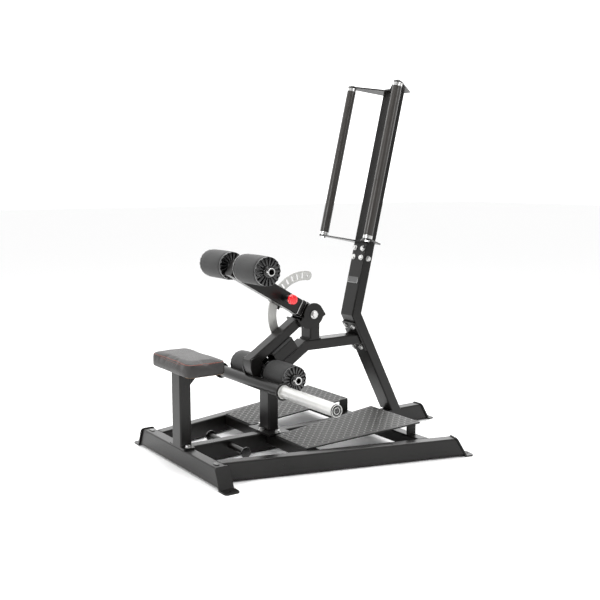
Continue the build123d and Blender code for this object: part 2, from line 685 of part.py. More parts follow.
with BuildPart() as arc_plate:
    with BuildSketch(arc_side) as outline:
        middle = (arc_first + arc_last) / 2
        with BuildLine():
            rim = ThreePointArc(on_arc(arc_out, arc_first), on_arc(arc_out, middle), on_arc(arc_out, arc_last))
            hollow = ThreePointArc(on_arc(arc_in, arc_first), on_arc(arc_in, middle), on_arc(arc_in, arc_last))
            Line(rim @ 0, hollow @ 0)
            Line(rim @ 1, hollow @ 1)
        make_face()
        with Locations(on_arc(pin_s, arc_first)):
            Circle((arc_out - arc_in) / 2)
            Circle(arc_end_hole, mode=Mode.SUBTRACT)
        for i in range(slot_count):
            angle = 180 - arm_angle + (i - arm_slot) * slot_step
            with Locations(on_arc(pin_s, angle)):
                SlotOverall(slot_long, 2 * (pin_r + hole_gap), rotation=angle, mode=Mode.SUBTRACT)
    extrude(outline.sketch, amount=arc_thick)
publish(arc_plate, "arc_plate")

# ================= hip arm =================
hub_half = post_wide / 2 - cheek_thick - side_gap
arm_out = Vector(-arm_cos, 0, arm_sin)
pin_at = arm_side.from_local_coords(Vector(pin_s, 0, 0))


def arm_section(s):
    """Square to the arm at a distance from the pivot."""
    return Plane(origin=pivot + arm_out * s, x_dir=(0, 1, 0), z_dir=arm_out)


with BuildPart() as arm_bushes:
    for s in (-1, 1):
        add_round(across(pivot + Vector(0, s * hub_half, 0), -s), bush_r, 22.0, shaft_r + running)
publish(arm_bushes, "arm_bushes")

# The arm: tube, pivot hub, clamp band and end plate, welded together.
with BuildPart() as arm_tube:
    add_tube(arm_section(0), arm_wide, arm_tall, arm_end)
    with BuildSketch(arm_section(arm_end)):
        RectangleRounded(arm_wide, arm_tall, tube_corner)
    extrude(amount=3.0)
    with BuildSketch(arm_section(band_s)):
        RectangleRounded(arm_wide + 2 * band_thick, arm_tall + 2 * band_thick, tube_corner + band_thick)
        RectangleRounded(arm_wide, arm_tall, tube_corner, mode=Mode.SUBTRACT)
    extrude(amount=band_long)
    add_round(across(pivot - Vector(0, arm_wide, 0)), hub_r, 2 * arm_wide, mode=Mode.SUBTRACT)
    add_round(across(upper_axle - Vector(0, arm_wide, 0)), axle_r, 2 * arm_wide, mode=Mode.SUBTRACT)
    add_round(across(pin_at - Vector(0, arm_wide, 0)), pin_r + hole_gap, 2 * arm_wide, mode=Mode.SUBTRACT)
    split(bisect_by=arm_section(0), keep=Keep.TOP)
    add_round(across(pivot - Vector(0, hub_half, 0)), hub_r, 2 * hub_half, bush_r)
publish(arm_tube, "arm_tube")

# The pin's barrel stands on the arm's near side; the pin goes through to the arc plate.
# It is drawn here pulled out and parked, clear of the plate.
barrel_y = -arm_wide / 2
pin_tip_y = arc_y - 2.0
knob_y = barrel_y - barrel_long - barrel_lid - pin_travel - 1.0
with BuildPart() as pin_barrel:
    add_round(across(pin_at + Vector(0, barrel_y, 0), -1), barrel_r, barrel_long, barrel_bore)
    add_round(across(pin_at + Vector(0, barrel_y - barrel_long, 0), -1), barrel_r, barrel_lid, pin_r + running)
publish(pin_barrel, "pin_barrel")

shoulder_y = barrel_y - pin_travel - 4.0
with BuildPart() as pop_pin:
    add_round(across(pin_at + Vector(0, pin_tip_y, 0), -1), pin_r, pin_tip_y - knob_y + 3)
    add_round(across(pin_at + Vector(0, shoulder_y, 0), -1), barrel_bore - 0.4, 4.0)
    chamfer(edges().group_by(Axis.Y)[-1], 1.0)
publish(pop_pin, "pop_pin")

with BuildPart() as pin_knob:
    knob_start = across(pin_at + Vector(0, knob_y, 0), -1)
    add_round(knob_start, knob_neck_r, knob_neck)
    add_round(knob_start.offset(knob_neck), knob_r, knob_long)
    fillet(edges().filter_by(GeomType.CIRCLE).group_by(SortBy.LENGTH)[-1], 6.0)
    add_round(across(pin_at + Vector(0, knob_y + 1, 0), -1), pin_r, 4.0, mode=Mode.SUBTRACT)
publish(pin_knob, "pin_knob")

with BuildPart() as pin_spring:
    spring_long = barrel_long - pin_travel - 8.0 - 2 * spring_gap
    add_round(across(pin_at + Vector(0, shoulder_y - 4.0 - spring_gap, 0), -1), barrel_bore - 0.6,
              spring_long, pin_r + 0.6)
publish(pin_spring, "pin_spring")

# The keeper holds the arc plate against the arm: a spacer and a cheek beyond the plate.
with BuildPart() as arc_keeper:
    add_plate(
        arm_side.offset(arm_wide / 2),
        [(arc_in - 24, -arm_tall / 2), (arc_in - 24, arm_tall / 2 - 12), (arc_in - 8, arm_tall / 2 - 12),
         (arc_in - 8, -arm_tall / 2)],
        arc_y + arc_thick + 2.0 - arm_wide / 2,
    )
    add_plate(
        arm_side.offset(arc_y + arc_thick + 2.0),
        [(arc_in - 24, -arm_tall / 2 - 10), (arc_in - 24, arm_tall / 2 - 12),
         (arc_out + 4, arm_tall / 2 - 12), (arc_out + 4, -arm_tall / 2 + 4), (arc_in + 6, -arm_tall / 2 - 10)],
        5.0,
    )
    add_round(across(pin_at + Vector(0, arm_wide / 2, 0)), pin_r + hole_gap, arc_y, mode=Mode.SUBTRACT)
publish(arc_keeper, "arc_keeper")

# ================= rollers =================
def build_axle(centre, half, name):
    with BuildPart() as axle:
        add_round(across(centre - Vector(0, half, 0)), axle_r, 2 * half, axle_r - axle_wall)
    publish(axle, name)


def build_rings(centre, half, name):
    """Silver shaft collars at an axle's ends, outside the rollers."""
    with BuildPart() as rings:
        for s in (-1, 1):
            add_round(across(centre + Vector(0, s * (half - ring_thick), 0), s), ring_r, ring_thick, axle_r)
        fillet(edges().filter_by(GeomType.CIRCLE).group_by(SortBy.LENGTH)[-1], 1.0)
        for s in (-1, 1):
            # A set screw's head stands out of the ring.
            head = centre + Vector(-axle_r - 1, s * (half - ring_thick / 2), 0)
            add_round(Plane(origin=head, z_dir=(-1, 0, 0)), set_screw_r, ring_r - axle_r - 1 + set_screw_out)
    publish(rings, name)


def build_roller(centre, s, inside, long, foam_r, name):
    """Foam on two end caps whose hubs turn on the axle."""
    with BuildPart() as foam:
        add_round(across(centre + Vector(0, s * (inside + roller_cap), 0), s), foam_r,
                  long - 2 * roller_cap, spigot_r)
    publish(foam, f"{name}_foam")
    with BuildPart() as caps:
        for end, inward in ((inside, s), (inside + long, -s)):
            face = across(centre + Vector(0, s * end, 0), inward)
            add_round(face, foam_r - cap_inset, roller_cap, axle_r + running)
            add_round(face.offset(-hub_boss), hub_boss_r, hub_boss, axle_r + running)
            add_round(face.offset(roller_cap), spigot_r, spigot_long, axle_r + running)
    publish(caps, f"{name}_caps")


ring_room = hub_boss + side_gap + ring_thick
upper_half = roller_in + roller_long + ring_room
lower_half = lower_roller_in + lower_roller_long + ring_room
build_axle(upper_axle, upper_half, "upper_axle")
build_axle(lower_axle, lower_half, "lower_axle")
build_rings(upper_axle, upper_half, "upper_axle_rings")
build_rings(lower_axle, lower_half, "lower_axle_rings")
for side_name, s in (("right", -1), ("left", 1)):
    build_roller(upper_axle, s, roller_in, roller_long, upper_foam_r, f"upper_{side_name}")
    build_roller(lower_axle, s, lower_roller_in, lower_roller_long, lower_foam_r, f"lower_{side_name}")

# ================= upright =================
bend_cut = Plane(origin=bend, z_dir=leg_dir + mast_dir)
leg_long = (bend_z - deck) / leg_dir.Z
mast_long = along_mast(mast_height)
splice_at = along_mast(splice_z)

# The lower upright: a leg from the centre rail, mitred to a stub of the mast.
with BuildPart() as lower_leg:
    add_tube(
        Plane(origin=bend - leg_dir * (leg_long + mast_wide), x_dir=(0, 1, 0), z_dir=leg_dir),
        mast_wide, mast_deep, leg_long + 2 * mast_wide,
    )
    split(bisect_by=bend_cut, keep=Keep.BOTTOM)
    split(bisect_by=Plane(origin=(0, 0, deck), z_dir=(0, 0, 1)), keep=Keep.TOP)
    for y, d in flange_holes:
        place = flange_mid + Vector(0, y, 0) + leg_dir * d + leg_out
        cut_hole(Plane(origin=place, z_dir=leg_out), tube_wall + 2)

with BuildPart() as lower_upright:
    add_tube(mast_plane(-mast_deep), mast_deep, mast_wide, splice_at + mast_deep)
    split(bisect_by=bend_cut, keep=Keep.TOP)
    add(lower_leg.part)
publish(lower_upright, "lower_upright")

splice_rows = (29.0, 70.0)  # above the splice
splice_holes = [(y, d) for y in (-bolt_row_y, bolt_row_y) for d in splice_rows]
splice_shank = 11.0

with BuildPart() as splice_insert:
    fit = tube_wall + 0.2
    add_tube(mast_plane(splice_at - splice_long), mast_deep - 2 * fit, mast_wide - 2 * fit,
             2 * splice_long, 4.0, 5.0)
    for y, d in splice_holes:
        cut_hole(mast_face(splice_at + d, y), splice_shank + 1)
    for s in (-1, 1):
        cut_hole(mast_cheek(splice_at + splice_rows[0], s), splice_shank + 1)
publish(splice_insert, "splice_insert")

with BuildPart() as upper_mast:
    add_tube(mast_plane(splice_at), mast_deep, mast_wide, mast_long - splice_at)
    with BuildSketch(mast_plane(mast_long)):
        RectangleRounded(mast_deep, mast_wide, tube_corner)
    extrude(amount=3.0)
    for y, d in splice_holes:
        cut_hole(mast_face(splice_at + d, y, 1.0), tube_wall + 2)
    for s in (-1, 1):
        cut_hole(mast_cheek(splice_at + splice_rows[0], s), tube_wall + 1)
publish(upper_mast, "upper_mast")

with BuildPart() as frame_bolts:
    for y in (-base_bolt_y, base_bolt_y):
        add_bolt(up_at(post_x, y, deck + post_plate), post_plate + tube_wall + bolt_shank_in)
    for x, y in mid_bolts:
        add_bolt(up_at(mid_post_x + x, y, deck + post_plate), post_plate + tube_wall + bolt_shank_in)
    for y, d in flange_holes:
        place = flange_mid + Vector(0, y, 0) + leg_dir * d + leg_out * flange_thick
        add_bolt(Plane(origin=place, z_dir=leg_out), flange_thick + tube_wall + 6)
    for y, d in splice_holes:
        add_bolt(mast_face(splice_at + d, y), splice_shank)
    for s in (-1, 1):
        add_bolt(mast_cheek(splice_at + splice_rows[0], s), splice_shank)
    for x in screw_x:
        for y in screw_y:
            under = Plane(origin=(bar_x + x, y, bracket_z), x_dir=(1, 0, 0), z_dir=(0, 0, -1))
            add_bolt(under, bracket_thick + screw_grip, screw_r - running, 7.0, 5.0)
publish(frame_bolts, "frame_bolts")

with BuildPart() as label_plate:
    with BuildSketch(mast_face(along_mast(697.0))) as outline:
        RectangleRounded(label_wide, label_long, 3)
    extrude(outline.sketch, amount=label_thick)
publish(label_plate, "label_plate")

# ================= grips =================
grip_top_at = mast_long - v_plate - grip_top_drop
grip_low_at = along_mast(grip_low_z)


def add_v_plate(along):
    """A plate square to the mast: a wing to each grip and a corner behind."""
    plane = mast_plane(along)
    wing = [
        (-grip_forward - 14, grip_y - 14), (-mast_deep / 2 - 22, mast_wide / 2 - 20),
        (-mast_deep / 2, mast_wide / 2 - 20), (-mast_deep / 2, mast_wide / 2),
        (mast_deep / 2 - 10, mast_wide / 2), (mast_deep / 2 - 10, grip_y - 66), (-grip_forward + 14, grip_y + 15),
    ]
    with BuildSketch(plane) as outline:
        for s in (-1, 1):
            with BuildLine():
                Polyline(*[(x, s * y) for x, y in wing], close=True)
            make_face()
            with Locations((-grip_forward, s * grip_y)):
                Circle(grip_r)
        with Locations((-mast_deep / 2 - 8, 0)):
            Rectangle(16, mast_wide - 40)
        for s in (-1, 1):
            with Locations((-grip_forward, s * grip_y)):
                Circle(spindle_r, mode=Mode.SUBTRACT)
    extrude(outline.sketch, amount=v_plate)


with BuildPart() as grip_brackets:
    add_v_plate(grip_low_at - v_plate)
    add_v_plate(grip_top_at)
publish(grip_brackets, "grip_brackets")

grip_room = grip_top_at - grip_low_at - 2 * side_gap
with BuildPart() as spindles:
    for s in (-1, 1):
        add_round(mast_plane(grip_low_at - v_plate, grip_forward, s * grip_y), spindle_r, grip_top_at
                  - grip_low_at + 2 * v_plate)
    # Washers and nuts at both ends.
    for s in (-1, 1):
        top = mast_plane(grip_top_at + v_plate, grip_forward, s * grip_y)
        low = mast_plane(grip_low_at - v_plate, grip_forward, s * grip_y)
        for end in (top, Plane(origin=low.origin, x_dir=low.x_dir, z_dir=-low.z_dir)):
            add_round(end, 13.0, 2.0)
            with BuildSketch(end.offset(2.0)) as hexagon:
                RegularPolygon(bolt_head_r, 6)
            extrude(hexagon.sketch, amount=5.0)
publish(spindles, "grip_spindles")

for side_name, s in (("right", -1), ("left", 1)):
    with BuildPart() as grip:
        add_round(mast_plane(grip_low_at + side_gap + grip_collar, grip_forward, s * grip_y), grip_r,
                  grip_room - 2 * grip_collar, spindle_r + running)
    publish(grip, f"{side_name}_grip")
    with BuildPart() as collars:
        for at in (grip_low_at + side_gap, grip_top_at - side_gap - grip_collar):
            add_round(mast_plane(at, grip_forward, s * grip_y), grip_r + 0.5, grip_collar, spindle_r + running)
    publish(collars, f"{side_name}_grip_collars")
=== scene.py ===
import bpy
import json
import math
from mathutils import Matrix, Vector


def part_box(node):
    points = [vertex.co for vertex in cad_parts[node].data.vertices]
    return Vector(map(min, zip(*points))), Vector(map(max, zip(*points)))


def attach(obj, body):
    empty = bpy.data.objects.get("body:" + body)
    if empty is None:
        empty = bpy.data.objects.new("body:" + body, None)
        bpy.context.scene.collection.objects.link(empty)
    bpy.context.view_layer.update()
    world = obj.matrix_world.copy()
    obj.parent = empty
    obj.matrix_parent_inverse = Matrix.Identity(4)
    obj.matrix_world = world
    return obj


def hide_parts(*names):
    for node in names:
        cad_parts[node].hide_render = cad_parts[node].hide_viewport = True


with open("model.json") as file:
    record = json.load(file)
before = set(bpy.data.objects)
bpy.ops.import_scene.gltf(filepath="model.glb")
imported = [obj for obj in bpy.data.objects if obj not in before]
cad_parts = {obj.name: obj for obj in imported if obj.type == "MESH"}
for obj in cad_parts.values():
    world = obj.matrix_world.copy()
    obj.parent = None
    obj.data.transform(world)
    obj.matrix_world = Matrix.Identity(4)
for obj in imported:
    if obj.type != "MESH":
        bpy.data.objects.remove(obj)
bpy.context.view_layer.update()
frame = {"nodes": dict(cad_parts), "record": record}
nodes = frame["nodes"]
slotOf = {part["node"]: part["material_slot"] for part in frame["record"]["subparts"]}
print("frame loaded:", len(nodes), "nodes")


# ---------- small helpers ----------
def mid(name):
    low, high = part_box(name)
    return (low + high) / 2


def deselect():
    bpy.ops.object.select_all(action="DESELECT")


def activate(piece):
    deselect()
    piece.select_set(True)
    bpy.context.view_layer.objects.active = piece
    return piece


def freeze(piece):
    # place, turn and size go into the mesh
    activate(piece)
    bpy.ops.object.transform_apply(location=True, rotation=True, scale=True)
    return piece


def addModifier(piece, kind, **settings):
    activate(piece)
    modifier = piece.modifiers.new(kind.lower(), kind)
    for key, value in settings.items():
        setattr(modifier, key, value)
    bpy.ops.object.modifier_apply(modifier=modifier.name)


def pickFaces(piece, test):
    # edit mode with only the faces that pass the test selected
    activate(piece)
    bpy.ops.object.mode_set(mode="EDIT")
    bpy.ops.mesh.select_all(action="DESELECT")
    bpy.ops.mesh.select_mode(type="FACE")
    bpy.ops.object.mode_set(mode="OBJECT")
    for face in piece.data.polygons:
        face.select = test(face)
    bpy.ops.object.mode_set(mode="EDIT")


def pickEdges(piece, test):
    activate(piece)
    bpy.ops.object.mode_set(mode="EDIT")
    bpy.ops.mesh.select_all(action="DESELECT")
    bpy.ops.mesh.select_mode(type="EDGE")
    bpy.ops.object.mode_set(mode="OBJECT")
    points = piece.data.vertices
    for edge in piece.data.edges:
        edge.select = test(points[edge.vertices[0]].co, points[edge.vertices[1]].co)
    bpy.ops.object.mode_set(mode="EDIT")


def objectMode():
    bpy.ops.object.mode_set(mode="OBJECT")


def smooth(piece, degrees=35):
    activate(piece)
    bpy.ops.object.shade_smooth_by_angle(angle=math.radians(degrees))


def copyOf(piece, name, matrix=None):
    twin = piece.copy()
    twin.data = piece.data.copy()
    twin.name = name
    bpy.context.collection.objects.link(twin)
    if matrix is not None:
        twin.data.transform(matrix)
    return twin


def joinAll(parts, name):
    deselect()
    for part in parts:
        part.select_set(True)
    bpy.context.view_layer.objects.active = parts[0]
    bpy.ops.object.join()
    parts[0].name = name
    return parts[0]


def dress(piece, body, slot, material, *replaced):
    # the body it moves with, its slot (not used), its finish and the CAD nodes it stands for
    piece.data.materials.clear()
    piece.data.materials.append(material)
    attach(piece, body)
    if replaced:
        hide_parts(*replaced)
    return piece


# ---------- camera ----------
cameraPlace = {"target": (-0.0647, 0, 0.6326), "distance": 3.9, "azimuth": -34.26, "elevation": 7.72,
               "lens": 54.32, "sensor": 36}


def makeCamera():
    turn = math.radians(cameraPlace["azimuth"])
    rise = math.radians(cameraPlace["elevation"])
    back = Vector((math.sin(turn) * math.cos(rise), -math.cos(turn) * math.cos(rise), math.sin(rise)))
    bpy.ops.object.camera_add(location=Vector(cameraPlace["target"]) + back * cameraPlace["distance"])
    camera = bpy.context.object
    camera.rotation_euler = (-back).to_track_quat("-Z", "Y").to_euler()
    camera.data.lens = cameraPlace["lens"]
    camera.data.sensor_width = cameraPlace["sensor"]
    bpy.context.scene.camera = camera
    print("camera ready")


# ---------- shader maths ----------
class Value:
    # a socket that adds Math nodes when it is used in an expression
    def __init__(self, shader, socket):
        self.shader, self.socket = shader, socket

    def calc(self, operation, other):
        return self.shader.node("ShaderNodeMath", {"operation": operation}, {0: self, 1: other}).out()

    def __add__(self, other):
        return self.calc("ADD", other)

    __radd__ = __add__

    def __mul__(self, other):
        return self.calc("MULTIPLY", other)

    __rmul__ = __mul__


class Placed:
    # a node in a material, whose outputs are taken by name or number
    def __init__(self, shader, made):
        self.shader, self.made = shader, made

    def out(self, name=0):
        return Value(self.shader, self.made.outputs[name])


class Shader:
    def __init__(self, name, surface="Principled BSDF", data=None):
        self.material = data or bpy.data.materials.new(name)
        self.material.use_nodes = True
        self.tree = self.material.node_tree
        self.surface = self.tree.nodes[surface]

    def node(self, kind, settings=None, inputs=None):
        made = self.tree.nodes.new(kind)
        for key, value in (settings or {}).items():
            if key == "ramp":
                self.fillRamp(made, value)
            else:
                setattr(made, key, value)
        self.feed(made, inputs or {})
        return Placed(self, made)

    def fillRamp(self, made, stops):
        elements = made.color_ramp.elements
        while len(elements) < len(stops):
            elements.new(0.5)
        for element, (at, colour) in zip(elements, stops):
            element.position = at
            element.color = colour

    def feed(self, made, inputs):
        for key, value in inputs.items():
            if isinstance(value, Value):
                self.tree.links.new(value.socket, made.inputs[key])
            else:
                made.inputs[key].default_value = value

    def objectPoint(self):
        return self.node("ShaderNodeTexCoord").out("Object")

    def stretched(self, scale):
        return self.node("ShaderNodeMapping", {}, {"Vector": self.objectPoint(), "Scale": scale}).out()

    def noise(self, scale, detail=4, rough=0.5, point=None):
        point = point or self.objectPoint()
        return self.node("ShaderNodeTexNoise", {}, {
            "Vector": point, "Scale": scale, "Detail": detail, "Roughness": rough}).out("Fac")

    def ramp(self, value, low, high, fromColour=(0, 0, 0, 1), toColour=(1, 1, 1, 1)):
        return self.node("ShaderNodeValToRGB", {"ramp": [(low, fromColour), (high, toColour)]},
                         {"Fac": value}).out("Color")

    def mix(self, factor, first, second):
        # sockets 6 and 7 are the colours, and output 2 is their mix
        return self.node("ShaderNodeMix", {"data_type": "RGBA"}, {0: factor, 6: first, 7: second}).out(2)

    def bump(self, height, strength, distance, normal=None):
        inputs = {"Height": height, "Strength": strength, "Distance": distance}
        if normal:
            inputs["Normal"] = normal
        return self.node("ShaderNodeBump", {}, inputs).out("Normal")

    def paint(self, **inputs):
        names = {"baseColor": "Base Color", "coatWeight": "Coat Weight", "coatRoughness": "Coat Roughness",
                 "specular": "Specular IOR Level", "sheen": "Sheen Weight",
                 "sheenRoughness": "Sheen Roughness"}
        self.feed(self.surface, {names.get(key, key.capitalize()): value for key, value in inputs.items()})
        return self.material


def grey(level):
    return (level, level, level, 1)


def scaled(tone, factor):
    # the same colour, lighter or darker
    return tuple(min(1, channel * factor) for channel in tone[:3]) + (1,)


# ---------- finishes ----------
def makePowderCoat(name, tone=(0.0052, 0.0048, 0.0044, 1), worn=(0.016, 0.0155, 0.0145, 1),
                   gloss=0.3, specular=0.3):
    shader = Shader(name)
    patches = shader.noise(9, 5)
    dust = shader.noise(60, 6, 0.7)
    peel = shader.noise(900, 2)
    grit = shader.noise(2600, 3, 0.6)
    scuffs = shader.ramp(dust, 0.62, 0.78)
    colour = shader.mix(shader.ramp(patches, 0.35, 0.75), tone, scaled(tone, 1.35))
    colour = shader.mix(scuffs * 0.35, colour, worn)
    normal = shader.bump(peel * 0.7 + grit * 0.3, 0.22, 0.0006)
    return shader.paint(baseColor=colour, roughness=patches * 0.12 + dust * 0.06 + (gloss - 0.09),
                        normal=normal, specular=specular)


def makeZinc(name, tone, rough=0.22):
    shader = Shader(name)
    clouds = shader.noise(70, 5)
    fine = shader.noise(1400, 3, 0.7)
    colour = shader.mix(clouds, tone, scaled(tone, 0.82))
    return shader.paint(baseColor=colour, metallic=1.0, roughness=clouds * 0.14 + fine * 0.03 + rough,
                        normal=shader.bump(fine, 0.12, 0.0003))


def makeBrushed(name, tone, stretch, rough=0.3):
    # fine lines run where the stretch is small
    shader = Shader(name)
    lines = shader.noise(30, 6, 0.65, shader.stretched(stretch))
    clouds = shader.noise(14, 3)
    colour = shader.mix(lines * 0.6 + clouds * 0.4, tone, scaled(tone, 0.72))
    return shader.paint(baseColor=colour, metallic=0.85, roughness=lines * 0.16 + rough,
                        normal=shader.bump(lines, 0.2, 0.0004))


def makeFoam(name):
    shader = Shader(name)
    cells = shader.node("ShaderNodeTexVoronoi", {"feature": "F1"}, {
        "Vector": shader.objectPoint(), "Scale": 620.0}).out("Distance")
    skin = shader.noise(240, 5, 0.65)
    clouds = shader.noise(16, 4)
    colour = shader.mix(clouds, (0.019, 0.019, 0.019, 1), (0.03, 0.03, 0.0295, 1))
    return shader.paint(baseColor=colour, roughness=skin * 0.18 + 0.52,
                        normal=shader.bump(cells * 0.6 + skin * 0.6, 0.3, 0.0008),
                        specular=0.35, sheen=0.08, sheenRoughness=0.5)


def makeGlossPlastic(name, tone, rough=0.16):
    shader = Shader(name)
    flow = shader.noise(38, 4)
    fine = shader.noise(700, 3)
    colour = shader.mix(flow, tone, scaled(tone, 1.3))
    return shader.paint(baseColor=colour, roughness=flow * 0.1 + rough,
                        normal=shader.bump(fine, 0.08, 0.0003),
                        specular=0.6, coatWeight=0.35, coatRoughness=0.1)


def makeRubber(name, tone, rough):
    shader = Shader(name)
    grain = shader.noise(1100, 4, 0.6)
    clouds = shader.noise(24, 4)
    colour = shader.mix(clouds, tone, scaled(tone, 1.5))
    return shader.paint(baseColor=colour, roughness=clouds * 0.14 + rough,
                        normal=shader.bump(grain, 0.25, 0.0005), specular=0.45)


def makeLeather(name):
    shader = Shader(name)
    pebbles = shader.node("ShaderNodeTexVoronoi", {"feature": "DISTANCE_TO_EDGE"}, {
        "Vector": shader.objectPoint(), "Scale": 430.0}).out("Distance")
    creases = shader.noise(26, 6, 0.6)
    pores = shader.noise(1300, 3)
    grain = shader.ramp(pebbles, 0.0, 0.22)
    colour = shader.mix(creases, (0.012, 0.0108, 0.0102, 1), (0.027, 0.0238, 0.0226, 1))
    normal = shader.bump(grain * 0.7 + pores * 0.3, 0.32, 0.0006)
    normal = shader.bump(creases, 0.2, 0.004, normal)
    return shader.paint(baseColor=colour, roughness=creases * 0.16 + 0.36, normal=normal, specular=0.5)


def makeThread(name):
    shader = Shader(name)
    twist = shader.node("ShaderNodeTexWave", {"bands_direction": "DIAGONAL"}, {
        "Vector": shader.objectPoint(), "Scale": 420.0, "Distortion": 1.5}).out("Fac")
    colour = shader.mix(twist, (0.16, 0.032, 0.018, 1), (0.36, 0.085, 0.05, 1))
    return shader.paint(baseColor=colour, roughness=0.6, normal=shader.bump(twist, 0.4, 0.0004))


def makePlywood(name):
    shader = Shader(name)
    point = shader.stretched((3, 1, 30))
    rings = shader.noise(20, 6, 0.6, point)
    colour = shader.mix(rings, (0.42, 0.26, 0.13, 1), (0.2, 0.11, 0.055, 1))
    return shader.paint(baseColor=colour, roughness=rings * 0.2 + 0.55,
                        normal=shader.bump(rings, 0.3, 0.0006))


finishes = {
    "black_paint": makePowderCoat("blackPowderCoat"),
    "checker_plate": makePowderCoat("treadCoat", (0.014, 0.0138, 0.013, 1), (0.04, 0.039, 0.037, 1), 0.4),
    "roller_foam": makeFoam("rollerFoam"),
    "cap_plastic": makeGlossPlastic("ribbedCapPlastic", (0.0055, 0.0055, 0.0055, 1)),
    "sleeve_steel": makeBrushed("sleeveSteel", (0.86, 0.86, 0.84, 1), (1, 12, 1), 0.34),
    "arc_steel": makeBrushed("arcSteel", (0.6, 0.6, 0.58, 1), (8, 1, 1), 0.4),
    "knob_red": makeGlossPlastic("redKnob", (0.78, 0.012, 0.018, 1), 0.2),
    "zinc": makeZinc("brightZinc", (0.78, 0.78, 0.77, 1)),
    "bronze": makeZinc("bushBronze", (0.55, 0.36, 0.18, 1), 0.38),
    "grip_rubber": makeRubber("gripRubber", (0.026, 0.0235, 0.0215, 1), 0.24),
    "seat_leather": makeLeather("seatLeather"),
    "plywood": makePlywood("plywood"),
    "stop_rubber": makeRubber("stopRubber", (0.02, 0.02, 0.02, 1), 0.5),
    "label_metal": makeGlossPlastic("labelPlate", (0.045, 0.045, 0.045, 1), 0.3),
}
threadFinish = makeThread("seatThread")
# the raised tread bars are a lighter grey than the plate: partly wear, partly a painted highlight on their
# tops
barWearAndHighlight = makePowderCoat("raisedBarsWornAndHighlit", (0.07, 0.069, 0.064, 1), (0.16, 0.158, 0.15, 1), 0.34, 0.5)
makeCamera()
for name, node in nodes.items():
    node.data.materials.clear()
    node.data.materials.append(finishes[slotOf[name]])
print("finishes on the frame")


# ---------- seat pad ----------
seat = {"corner": 0.040, "topRound": 0.009, "shrink": 0.006, "voxel": 0.0055, "fill": 0.85,
        "pressure": 4.0, "stretch": 40, "bend": 6, "frames": 20, "cap": 0.007, "stapled": 0.008,
        "stitchInset": 0.011, "stitchStep": 0.0066, "stitchLong": 0.0042, "stitchThick": 0.0013,
        "stitchProud": 0.0003, "seamDown": 0.010, "weltStep": 0.005, "weltThick": 0.0016}


def roundedOutline(low, high, corner, inset, steps=10):
    # points along a rounded rectangle, as quarter arcs about four centres
    radius = corner - inset
    path = []
    for quarter, (sideX, sideY) in enumerate(((1, 1), (-1, 1), (-1, -1), (1, -1))):
        centreX = high.x - corner if sideX > 0 else low.x + corner
        centreY = high.y - corner if sideY > 0 else low.y + corner
        for step in range(steps + 1):
            angle = (quarter + step / steps) * math.pi / 2
            path.append(Vector((centreX + radius * math.cos(angle),
                                centreY + radius * math.sin(angle), 0)))
    return path


def walk(path, step):
    # evenly spaced places and headings round a closed path
    sides = list(zip(path, path[1:] + path[:1]))
    total = sum((b - a).length for a, b in sides)
    count = round(total / step)
    places, gone, wanted = [], 0.0, 0.0
    for a, b in sides:
        long = (b - a).length
        while wanted < gone + long and len(places) < count:
            places.append((a.lerp(b, (wanted - gone) / long), (b - a).normalized()))
            wanted += total / count
        gone += long
    return places


def makeSeatPad():
    low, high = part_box("seat_pad")
    size = high - low
    deselect()
    bpy.ops.mesh.primitive_cube_add(size=1, location=(low + high) / 2)
    pad = bpy.context.object
    pad.name = "seatCushion"
    pad.scale = size - Vector((seat["shrink"] * 2, seat["shrink"] * 2, seat["shrink"]))
    pad.location.z = low.z + pad.scale.z / 2
    freeze(pad)
    pickEdges(pad, lambda a, b: abs(a.z - b.z) > size.z / 2)
    bpy.ops.mesh.bevel(offset=seat["corner"] - seat["shrink"], segments=10)
    objectMode()
    pickEdges(pad, lambda a, b: a.z > high.z - size.z / 2 and b.z > high.z - size.z / 2)
    bpy.ops.mesh.bevel(offset=seat["topRound"], segments=3)
    objectMode()
    addModifier(pad, "REMESH", mode="VOXEL", voxel_size=seat["voxel"])
    swell(pad, low.z + seat["stapled"])
    addModifier(pad, "SUBSURF", levels=1, render_levels=1)
    smooth(pad, 60)
    dress(pad, "frame", "seat_leather", finishes["seat_leather"], "seat_pad")
    addSeatSeams(pad, low, high)
    print("seat pad done")


def swell(pad, heldBelow):
    # the cover fills out under pressure, held where it is stapled to the board
    start = [vertex.co.copy() for vertex in pad.data.vertices]
    held = pad.vertex_groups.new(name="stapled")
    held.add([vertex.index for vertex in pad.data.vertices if vertex.co.z < heldBelow], 1.0, "REPLACE")
    cloth = pad.modifiers.new("cloth", "CLOTH")
    cloth.settings.use_pressure = True
    cloth.settings.uniform_pressure_force = seat["pressure"]
    cloth.settings.vertex_group_mass = "stapled"
    cloth.settings.effector_weights.gravity = 0
    cloth.settings.tension_stiffness = seat["stretch"]
    cloth.settings.compression_stiffness = seat["stretch"]
    cloth.settings.bending_stiffness = seat["bend"]
    cloth.point_cache.frame_end = seat["frames"]
    scene = bpy.context.scene
    for number in range(1, seat["frames"] + 1):
        scene.frame_set(number)
    activate(pad)
    bpy.ops.object.modifier_apply(modifier="cloth")
    scene.frame_set(1)
    for vertex, place in zip(pad.data.vertices, start):
        move = vertex.co - place
        if move.length > seat["cap"]:
            vertex.co = place + move.normalized() * seat["cap"]
    pad.vertex_groups.clear()
    addModifier(pad, "SMOOTH", factor=0.5, iterations=6)


